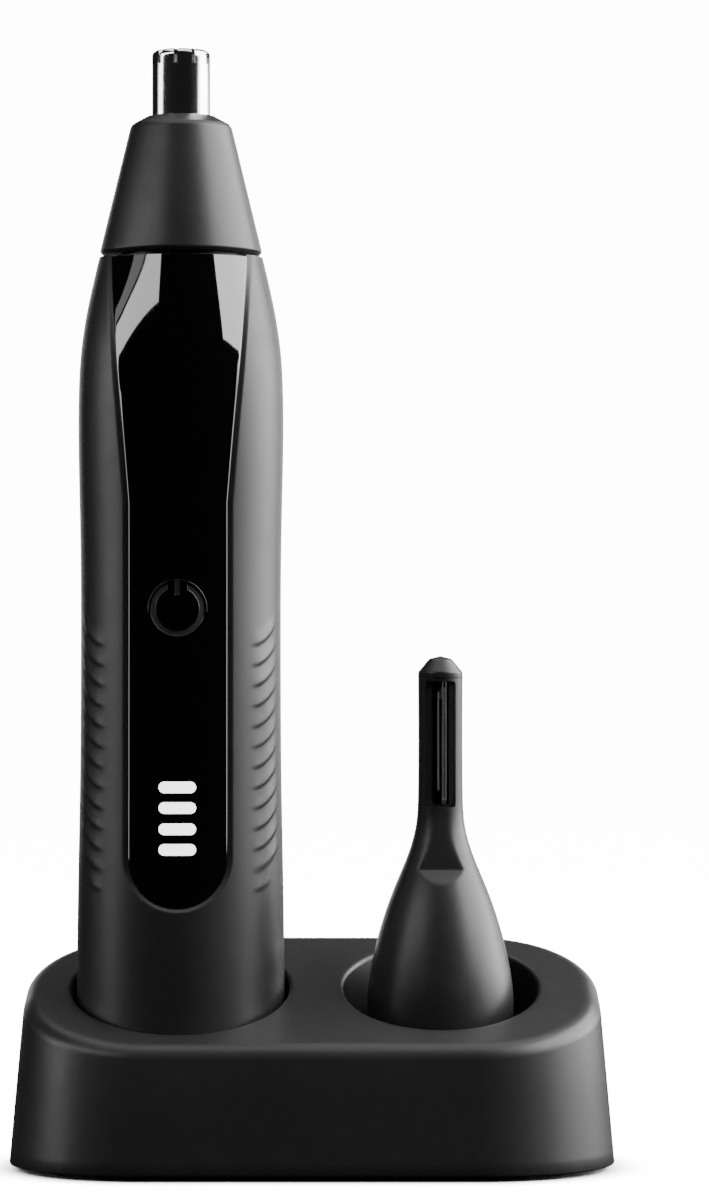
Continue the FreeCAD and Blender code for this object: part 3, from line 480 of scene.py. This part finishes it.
def chrome_tube():
    """Slotted tube: its section turned round the axis, in sectors of one slot and one land. A slot's sides stay
    parallel: at radius r they stand asin(half width / r) from its middle. The slot cells are left open."""
    bend = np.linspace(0, math.pi / 2, 9)[1:]
    slot_foot, edge_foot = TUBE_TOP - SLOT_DEPTH, TUBE_TOP - TUBE_EDGE
    side = np.concatenate([np.linspace(158.4, slot_foot, 8), np.linspace(slot_foot, edge_foot, 4)[1:]])
    line = np.concatenate([[(FLANGE_R, TUBE_FOOT), (FLANGE_R, TUBE_FOOT + 1.0), (TUBE_R, TUBE_FOOT + 1.0)],
                           np.stack([np.full(len(side), TUBE_R), side], 1),
                           np.stack([TUBE_R + TUBE_EDGE * (np.cos(bend) - 1), edge_foot + TUBE_EDGE * np.sin(bend)], 1),
                           [(3.0, TUBE_TOP), (SLOT_INNER, TUBE_TOP), (1.6, TUBE_TOP), (0.0, TUBE_TOP)]])
    radius, height = line[:, :1], line[:, 1:]
    sector = 2 * math.pi / SLOT_COUNT
    edge = np.arcsin(SLOT_WIDTH / 2 / np.maximum(radius, SLOT_INNER))
    lands = edge + (sector - 2 * edge) * np.linspace(0, 1, 9)
    one = np.concatenate([-edge, lands[:, :-1]], 1)
    starts = math.radians(SLOT_TURN) + sector * np.arange(SLOT_COUNT + 1)
    angle = (starts[:, None, None] + one).transpose(1, 0, 2).reshape(len(line), -1)[:, :SLOT_COUNT * 9 + 1]
    grid = stacked(TRIMMER_X + radius * np.sin(angle), -radius * np.cos(angle), height)
    row = (line[:-1, 1] >= slot_foot - 1e-6) & (line[1:, 0] >= SLOT_INNER - 1e-6)
    column = np.arange(SLOT_COUNT * 9) % 9 == 0
    tube = piece("chrome_cutter_tube", [grid], keep=~(row[:, None] & column[None]), sharp=40)
    wall = tube.modifiers.new("Wall", "SOLIDIFY")
    wall.thickness, wall.offset = 0.0004, -1.0
    return cut(tube, [], sharp=40)


# ---- detail head ----
def detail_shell():
    """Spare head: the section turned round the axis, outside and inside. The front of the neck is faced flat, with a
    soft limit on y that leans forward down to a small ledge; below it the skirt keeps its round."""
    z = np.unique(np.concatenate([np.arange(DETAIL_BOTTOM, 42, 0.8), np.arange(42, 47, 0.14),
                                  np.arange(47, NECK_TOP + 0.01, 0.5), [NECK_TOP]]))
    angle = np.linspace(0, 2 * math.pi, 161)
    radius = DETAIL_RADIUS(z)[:, None]
    x, y = radius * np.sin(angle), -radius * np.cos(angle)
    face = np.interp(z, *zip(*FACE_LIMIT))[:, None]
    blend = 0.12
    lifted = face + blend * np.logaddexp(0, (y - face) / blend)
    y = np.where(np.cos(angle) > 0, np.maximum(y, lifted), y)
    inner_z = np.concatenate([np.linspace(NECK_TOP, BORE_TOP, 40), [BORE_TOP, DETAIL_BOTTOM]])
    inner_r = np.concatenate([DETAIL_RADIUS(inner_z[:40]) - DETAIL_WALL, [DETAIL_BORE, DETAIL_BORE]])[:, None]
    shell = stacked(DETAIL_X + np.concatenate([x, inner_r * np.sin(angle), x[:1]]),
                    np.concatenate([y, -inner_r * np.cos(angle), y[:1]]),
                    np.concatenate([z, inner_z, z[:1]])[:, None])
    body = piece("detail_head_body", [shell], sharp=45)
    cutters = []
    for half, low, y1 in ((WINDOW_HALF, WINDOW_BOTTOM, -2.5), (SLIT_HALF, WINDOW_BOTTOM + 0.4, -1.0)):
        shape = outline([(DETAIL_X - half, low, WINDOW_CORNER), (DETAIL_X + half, low, WINDOW_CORNER),
                         (DETAIL_X + half, WINDOW_TOP, WINDOW_CORNER), (DETAIL_X - half, WINDOW_TOP, WINDOW_CORNER)])
        cutters.append(piece("window_cutter", [along_y(shape, -8.0, y1)]))
    return cut(body, cutters, sharp=40)


def detail_cap():
    """Cap: its section turned round the axis, with a soft rim over the neck and a plug in the bore."""
    plug, rim = 1.9, DETAIL_CURVE[-1][0]
    line = outline([(0, 73.6, 0), (plug, 73.6, 0), (plug, NECK_TOP, 0), (rim, NECK_TOP, 0.06), (rim, 75.9, 0.6),
                    (1.75, 77.95, 0.9), (0, CAP_TOP, 0)], 9)
    return piece("detail_cap", [turned(line, DETAIL_X, 96)], sharp=40)


# ---- materials ----
class Signal:
    """A shader socket that takes part in Python arithmetic; every operation adds one Math node."""

    def __init__(self, shade, socket):
        self.shade, self.socket = shade, socket

    def math(self, operation, *values):
        return self.shade.node("ShaderNodeMath", {"operation": operation}, dict(enumerate(values)))

    def __add__(self, other):
        return self.math("ADD", self, other)

    def __sub__(self, other):
        return self.math("SUBTRACT", self, other)

    def __rsub__(self, other):
        return self.math("SUBTRACT", other, self)

    def __mul__(self, other):
        return self.math("MULTIPLY", self, other)

    def __pow__(self, other):
        return self.math("POWER", self, other)

    def __abs__(self):
        return self.math("ABSOLUTE", self)

    __radd__, __rmul__ = __add__, __mul__

    def step(self, low, high):
        """0 at low and 1 at high, eased between."""
        return self.shade.node("ShaderNodeMapRange", {"interpolation_type": "SMOOTHSTEP"},
                               {0: self, 1: low, 2: high, 3: 0.0, 4: 1.0})

    def most(self, other):
        """The larger of the two."""
        return self.math("MAXIMUM", self, other)


class Shade:
    """One procedural material."""

    def __init__(self, name):
        self.material = bpy.data.materials.new(name)
        self.material.use_nodes = True
        self.tree = self.material.node_tree
        self.tree.nodes.clear()
        self.place = self.node("ShaderNodeTexCoord", {}, {}, "Object")

    def node(self, kind, settings, values, output=0):
        """Adds a node: its settings first, then the values or links of its sockets."""
        made = self.tree.nodes.new(kind)
        for key, value in settings.items():
            setattr(made, key, value)
        for key, value in values.items():
            if isinstance(value, Signal):
                self.tree.links.new(value.socket, made.inputs[key])
            else:
                made.inputs[key].default_value = value
        return None if output is None else Signal(self, made.outputs[output])

    def axes(self):
        """X, Y and Z of the place, in millimetres."""
        scaled = self.node("ShaderNodeVectorMath", {"operation": "SCALE"}, {0: self.place, "Scale": 1000.0})
        split = self.node("ShaderNodeSeparateXYZ", {}, {0: scaled})
        outputs = split.socket.node.outputs
        return [Signal(self, outputs[i]) for i in range(3)]

    def noise(self, scale, detail=2.0, rough=0.5, stretch=(1, 1, 1)):
        """Smooth noise, 0 to 1, with about scale grains a millimetre."""
        where = self.node("ShaderNodeMapping", {}, {0: self.place, "Scale": [scale * 1000 * s for s in stretch]})
        return self.node("ShaderNodeTexNoise", {},
                         {"Vector": where, "Scale": 1.0, "Detail": detail, "Roughness": rough})

    def over(self, amount, below, above):
        """Two four-part colours, or links to them, mixed by an amount."""
        return self.node("ShaderNodeMix", {"data_type": "RGBA"}, {0: amount, 6: below, 7: above}, 2)

    def colour(self, amount, dark, light):
        """Colour between two by an amount."""
        return self.over(amount, (*dark, 1), (*light, 1))

    def bump(self, height, depth, strength=1.0):
        """Normal of a height of 0 to 1 that is depth millimetres deep."""
        return self.node("ShaderNodeBump", {}, {"Height": height, "Distance": depth / 1000, "Strength": strength})

    def finish(self, **sockets):
        """Principled surface; names have underscores for spaces."""
        surface = self.node("ShaderNodeBsdfPrincipled", {}, {k.replace("_", " "): v for k, v in sockets.items()})
        self.node("ShaderNodeOutputMaterial", {}, {"Surface": surface}, None)
        return self.material


def shades(colour, low, high):
    """A colour made darker and lighter by two factors."""
    return tuple(c * low for c in colour), tuple(min(1.0, c * high) for c in colour)


def soft_touch(name, colour, roughness=0.4):
    """Soft-touch paint: a fine even grain, a slow change of sheen, and a trace of handling."""
    s = Shade(name)
    grain, slow, rub = s.noise(9.0, 3.0, 0.6), s.noise(0.05, 2.0), s.noise(0.35, 4.0, 0.65)
    dark, light = shades(colour, 0.9, 1.12)
    rough = roughness - 0.04 + 0.06 * slow + 0.05 * rub.step(0.45, 0.75)
    return s.finish(Base_Color=s.colour(slow * 0.6 + grain * 0.4, dark, light), Roughness=rough,
                    Normal=s.bump(grain, 0.012, 0.5))


def moulded(name, colour, roughness=0.42, grain_size=5.0, depth=0.012):
    """Moulded plastic with a light spark-eroded grain and a slow change of gloss."""
    s = Shade(name)
    grain, slow = s.noise(grain_size, 2.0, 0.55), s.noise(0.08)
    dark, light = shades(colour, 0.88, 1.15)
    return s.finish(Base_Color=s.colour(slow, dark, light), Roughness=roughness - 0.05 + 0.1 * slow,
                    Normal=s.bump(grain, depth, 0.5))


def gloss_panel(name, colour):
    """High-gloss moulded panel: nearly black, with a very slow ripple and faint dust in the gloss."""
    s = Shade(name)
    ripple, haze = s.noise(0.06, 1.0), s.noise(1.2, 4.0, 0.7)
    dark, light = shades(colour, 0.9, 1.15)
    return s.finish(Base_Color=s.colour(haze, dark, light), Roughness=0.035 + 0.03 * haze.step(0.55, 0.8),
                    Normal=s.bump(ripple, 0.02, 0.3), **{"Specular IOR Level": 1.0})


def button_finish(name, colour, sign):
    """Gloss like the panel, with the engraved on-off sign dull and paler: a ring open at the top, and a dash. The paler
    tone is partly the dull engraving and partly a painted highlight for the glint on the groove's edges.
    """
    s = Shade(name)
    x, _, z = s.axes()
    x, z = x - TRIMMER_X, z - BUTTON_Z
    radius = (x * x + z * z) ** 0.5
    open_top = abs(x).step(1.46, 1.56).most(1 - z.step(-0.2, 0.2))
    ring = (1 - abs(radius - SIGN_R).step(0.37, 0.43)) * open_top
    dash = (1 - abs(x).step(0.38, 0.44)) * z.step(2.06, 2.12) * (1 - z.step(4.36, 4.42))
    mask = ring.most(dash)
    grain = s.noise(8.0)
    dark, light = shades(sign, 0.85, 1.15)
    # Paler sign colour: the dull engraving, plus a painted highlight standing for the glint on its edges.
    paint = s.colour(grain, dark, light)
    base = s.over(mask, (*colour, 1), paint)
    return s.finish(Base_Color=base, Roughness=0.05 + 0.4 * mask, Normal=s.bump(grain * mask, 0.01, 0.4))


def lit_lamp(name, colour):
    """Clear light bar, lit from behind: brighter in the middle of its length than at its ends."""
    s = Shade(name)
    x, _, _ = s.axes()
    glow = 1 - abs(x - TRIMMER_X).step(1.0, 4.5) * 0.25
    light = s.colour(glow, (0.8, 0.82, 0.85), colour)
    return s.finish(Base_Color=(0.9, 0.9, 0.9, 1), Roughness=0.25 + 0.1 * s.noise(2.0), Emission_Color=light,
                    Emission_Strength=3.0)


def chromed(name, colour):
    """Polished plating: a faint lengthwise polish and a slow change of gloss."""
    s = Shade(name)
    lines, slow = s.noise(3.0, 2.0, 0.5, (1, 1, 0.06)), s.noise(0.15)
    dark, light = shades(colour, 0.94, 1.03)
    return s.finish(Base_Color=s.colour(slow, dark, light), Metallic=1.0, Roughness=0.07 + 0.05 * slow,
                    Normal=s.bump(lines, 0.002, 0.4))


def brushed(name, colour, stretch=(1, 1, 0.05), roughness=0.28):
    """Ground or drawn steel: fine lines along one axis in the gloss and in the tone."""
    s = Shade(name)
    lines, slow = s.noise(7.0, 3.0, 0.6, stretch), s.noise(0.2)
    dark, light = shades(colour, 0.8, 1.15)
    return s.finish(Base_Color=s.colour(lines * 0.4 + slow * 0.3, dark, light), Metallic=1.0,
                    Roughness=roughness - 0.04 + 0.08 * lines, Normal=s.bump(lines, 0.003, 0.4))


def board(name, colour):
    """Circuit board: green mask with paler copper runs under it."""
    s = Shade(name)
    where = s.node("ShaderNodeMapping", {}, {0: s.place, "Scale": [450.0, 450.0, 450.0]})
    cell = s.node("ShaderNodeTexVoronoi", {"feature": "DISTANCE_TO_EDGE"}, {"Vector": where, "Scale": 1.0})
    runs, fleck = 1 - cell.step(0.03, 0.07), s.noise(0.6, 3.0)
    dark, light = shades(colour, 0.7, 1.9)
    return s.finish(Base_Color=s.colour(runs * 0.7 + fleck * 0.3, dark, light), Roughness=0.3 + 0.15 * fleck,
                    Normal=s.bump(runs, 0.02, 0.6))


def sleeved(name, colour):
    """Shrink sleeve of the cell: one printed band round it and fine shrink wrinkles."""
    s = Shade(name)
    _, _, z = s.axes()
    band = z.step(62.0, 62.4) * (1 - z.step(66.0, 66.4))
    wrinkle = s.noise(0.5, 3.0, 0.6, (1, 1, 0.2))
    dark, light = shades(colour, 0.85, 1.15)
    base = s.over(band, s.colour(wrinkle, dark, light), (0.75, 0.76, 0.78, 1))
    return s.finish(Base_Color=base, Roughness=0.2 + 0.15 * wrinkle, Normal=s.bump(wrinkle, 0.05, 0.4))


def node_finishes(look):
    """Material of every record slot."""
    return {
        "soft_touch_black": soft_touch("soft_touch_black", look.shell),
        "satin_black": moulded("satin_black", look.satin, 0.36),
        "gloss_black": gloss_panel("gloss_black", look.panel),
        "button_black": button_finish("button_black", look.panel, look.sign),
        "lamp_white": lit_lamp("lamp_white", look.lamp),
        "chrome": chromed("chrome", look.chrome),
        "blade_steel": brushed("blade_steel", look.steel, (1, 1, 0.02), 0.42),
        "spring_steel": brushed("spring_steel", (0.5, 0.5, 0.52), (1, 1, 1), 0.3),
        "motor_steel": brushed("motor_steel", (0.58, 0.58, 0.57), (1, 1, 0.3), 0.34),
        "nickel_strip": brushed("nickel_strip", (0.66, 0.64, 0.58), (0.2, 1, 0.2), 0.25),
        "gold_contact": brushed("gold_contact", (0.83, 0.6, 0.24), (1, 1, 1), 0.22),
        "black_rubber": moulded("black_rubber", (0.02, 0.02, 0.02), 0.75, 4.0, 0.03),
        "board_green": board("board_green", (0.015, 0.12, 0.05)),
        "cell_sleeve": sleeved("cell_sleeve", (0.06, 0.14, 0.38)),
        "white_nylon": moulded("white_nylon", (0.74, 0.73, 0.69), 0.45, 2.5, 0.02),
        "switch_parts": moulded("switch_parts", (0.06, 0.06, 0.065), 0.35, 6.0),
        "led_yellow": moulded("led_yellow", (0.8, 0.66, 0.25), 0.3, 6.0),
        "lead_red": moulded("lead_red", (0.45, 0.02, 0.02), 0.4, 3.0),
        "ballast_steel": brushed("ballast_steel", (0.36, 0.36, 0.37), (0.1, 1, 1), 0.45),
    }


# ---- operators ----
class TRIMMER_OT_finishes(bpy.types.Operator):
    """Make every material and put it on the inner parts"""
    bl_idname, bl_label = "trimmer.finishes", "Finishes and Inner Parts"

    def execute(self, context):
        for plain in list(bpy.data.materials):
            bpy.data.materials.remove(plain)
        made = node_finishes(context.scene.trimmer_look)
        slots = {p["node"]: p["material_slot"] for p in frame["record"]["subparts"]}
        slots["blade_carrier"] = "satin_black"   # shows black between the blades
        for name, node in NODES.items():
            node.data.materials.clear()
            node.data.materials.append(made[slots[name]])
        return {"FINISHED"}


class TRIMMER_OT_stand(bpy.types.Operator):
    """Build the stand's housing with its two wells"""
    bl_idname, bl_label = "trimmer.stand", "Stand"

    def execute(self, context):
        place(stand_shell(context.scene.trimmer_stand), "base", "soft_touch_black", "base_shell")
        return {"FINISHED"}


class TRIMMER_OT_body(bpy.types.Operator):
    """Build the body with its grips, the gloss panel and the power button"""
    bl_idname, bl_label = "trimmer.body", "Body, Panel and Button"

    def execute(self, context):
        settings = context.scene.trimmer_body
        place(body_barrel(settings), "trimmer", "soft_touch_black", "body_shell")
        place(front_panel(settings), "trimmer", "gloss_black", "front_panel")
        place(button_cap(), "power_button", "button_black", "power_button")
        return {"FINISHED"}


class TRIMMER_OT_nose_head(bpy.types.Operator):
    """Build the cone and the chrome cutter tube"""
    bl_idname, bl_label = "trimmer.nose_head", "Nose Head"

    def execute(self, context):
        place(nose_cone(), "nose_head", "soft_touch_black", "nose_head_shell")
        place(chrome_tube(), "nose_head", "chrome", "cutter_tube")
        return {"FINISHED"}


class TRIMMER_OT_detail_head(bpy.types.Operator):
    """Build the spare detail head and its cap"""
    bl_idname, bl_label = "trimmer.detail_head", "Detail Head"

    def execute(self, context):
        place(detail_shell(), "detail_head", "soft_touch_black", "detail_head_shell")
        place(detail_cap(), "detail_head", "satin_black", "detail_head_cap")
        return {"FINISHED"}


def soft_box(name, azimuth, elevation, width, height, roll, radiance):
    """Soft light aimed at the trimmer's upper half, at an azimuth (0 at the front, 90 at the right) and an
    elevation in degrees, rolled in its own plane."""
    around, up = math.radians(azimuth), math.radians(elevation)
    outwards = Vector((math.sin(around) * math.cos(up), -math.cos(around) * math.cos(up), math.sin(up)))
    data = bpy.data.lights.new(name, "AREA")
    data.shape, data.size, data.size_y = "RECTANGLE", width, height
    data.energy = radiance * math.pi * width * height
    made = bpy.data.objects.new(name, data)
    made.location = Vector((TRIMMER_X / 1000, 0, LIGHT_AIM_Z)) + LIGHT_REACH * outwards
    inwards = (-outwards).to_track_quat("-Z", "Y")
    made.rotation_euler = (inwards @ Quaternion((0, 0, 1), math.radians(roll))).to_euler()
    bpy.context.scene.collection.objects.link(made)


def top_box(name, height, size, radiance):
    """Soft light straight above."""
    data = bpy.data.lights.new(name, "AREA")
    data.size, data.energy = size, radiance * math.pi * size * size
    made = bpy.data.objects.new(name, data)
    made.location = (0, 0.1, height)
    bpy.context.scene.collection.objects.link(made)


class TRIMMER_OT_stage(bpy.types.Operator):
    """Build the bowl-shaped floor, the lights and the camera"""
    bl_idname, bl_label = "trimmer.stage", "Stage"

    def execute(self, context):
        flat, bowl, top = 2200, 800, 3000
        bend = np.linspace(0, math.pi / 2, 12)
        reach = np.concatenate([[0.0, 800.0, 1600.0], flat + bowl * np.sin(bend), [flat + bowl]])[:, None]
        rise = np.concatenate([[0.0, 0.0, 0.0], bowl - bowl * np.cos(bend), [top]])[:, None]
        around = np.linspace(0, 2 * math.pi, 97)[None]
        floor = piece("studio_floor", [stacked(reach * np.cos(around), reach * np.sin(around), rise)])
        pale = Shade("pale_floor")
        tone = pale.colour(pale.noise(0.01), (0.86, 0.86, 0.86), (0.9, 0.9, 0.9))
        x, y, _ = pale.axes()
        # The floor's glow is turned off under and just round the stand's footprint. This is a painted contact shadow:
        # there only the lamps light the floor.
        beside = (abs(x) - (STAND_HALF_X - STAND_CORNER)).most(0.0)
        before = (abs(y) - (STAND_HALF_Y - STAND_CORNER)).most(0.0)
        clear = ((beside * beside + before * before) ** 0.5).step(STAND_CORNER - 2.0, STAND_CORNER + 6.0)
        glow = pale.colour(clear, (0.0, 0.0, 0.0), (1.0, 1.0, 1.0))
        floor.data.materials.append(pale.finish(Base_Color=tone, Roughness=0.9, **{"Specular IOR Level": 0.1},
                                                Emission_Color=glow, Emission_Strength=14.0))
        floor.visible_glossy, floor.visible_diffuse = False, False
        world = bpy.data.worlds.new("studio_air")
        world.use_nodes = True
        world.node_tree.nodes["Background"].inputs[0].default_value = (0.012, 0.012, 0.012, 1)
        context.scene.world = world
        soft_box("left_strip", -66.0, 19.0, 1.3, 0.15, 24.0, 6.5)
        soft_box("left_grey_strip", -69.0, 26.0, 1.3, 0.06, 24.0, 1.5)
        soft_box("left_low", -80.0, -1.5, 0.25, 0.17, 0.0, 5.0)
        soft_box("right_box", 95.0, 30.0, 1.3, 0.8, -20.0, 10.0)
        soft_box("right_low", 106.0, 2.0, 1.2, 0.26, 0.0, 4.8)
        soft_box("rear_box", 180.0, 4.0, 0.9, 0.34, 0.0, 2.6)
        top_box("top_box", 1.2, 1.3, 1.6)
        camera_data = bpy.data.cameras.new("camera")
        camera_data.lens, camera_data.sensor_width = 144.3, 36.0
        camera_data.clip_start, camera_data.clip_end = 0.02, 20.0
        camera = bpy.data.objects.new("camera", camera_data)
        camera.location = (0.0065, -0.740, 0.0796)
        camera.rotation_euler = (math.radians(90.572), 0, 0)
        context.scene.collection.objects.link(camera)
        context.scene.camera = camera
        return {"FINISHED"}


class TRIMMER_PT_panel(bpy.types.Panel):
    """Lists the steps of the set"""
    bl_idname, bl_label = "TRIMMER_PT_panel", "Trimmer Set"
    bl_space_type, bl_region_type, bl_category = "VIEW_3D", "UI", "Trimmer"

    def draw(self, context):
        for step in STEPS:
            self.layout.operator(step.bl_idname)
        for group in (context.scene.trimmer_stand, context.scene.trimmer_body, context.scene.trimmer_look):
            for name in group.__annotations__:
                self.layout.prop(group, name)


GROUPS = (StandSettings, TrimmerSettings, FinishSettings)
STEPS = (TRIMMER_OT_finishes, TRIMMER_OT_stand, TRIMMER_OT_body, TRIMMER_OT_nose_head, TRIMMER_OT_detail_head,
         TRIMMER_OT_stage)


def register():
    for made in (*GROUPS, *STEPS, TRIMMER_PT_panel):
        bpy.utils.register_class(made)
    bpy.types.Scene.trimmer_stand = bpy.props.PointerProperty(type=StandSettings)
    bpy.types.Scene.trimmer_body = bpy.props.PointerProperty(type=TrimmerSettings)
    bpy.types.Scene.trimmer_look = bpy.props.PointerProperty(type=FinishSettings)


def unregister():
    del bpy.types.Scene.trimmer_stand, bpy.types.Scene.trimmer_body, bpy.types.Scene.trimmer_look
    for made in reversed((*GROUPS, *STEPS, TRIMMER_PT_panel)):
        bpy.utils.unregister_class(made)


def main():
    """Builds everything in order."""
    register()
    bpy.ops.trimmer.finishes()
    bpy.ops.trimmer.stand()
    bpy.ops.trimmer.body()
    bpy.ops.trimmer.nose_head()
    bpy.ops.trimmer.detail_head()
    bpy.ops.trimmer.stage()


if __name__ == "__main__":
    main()
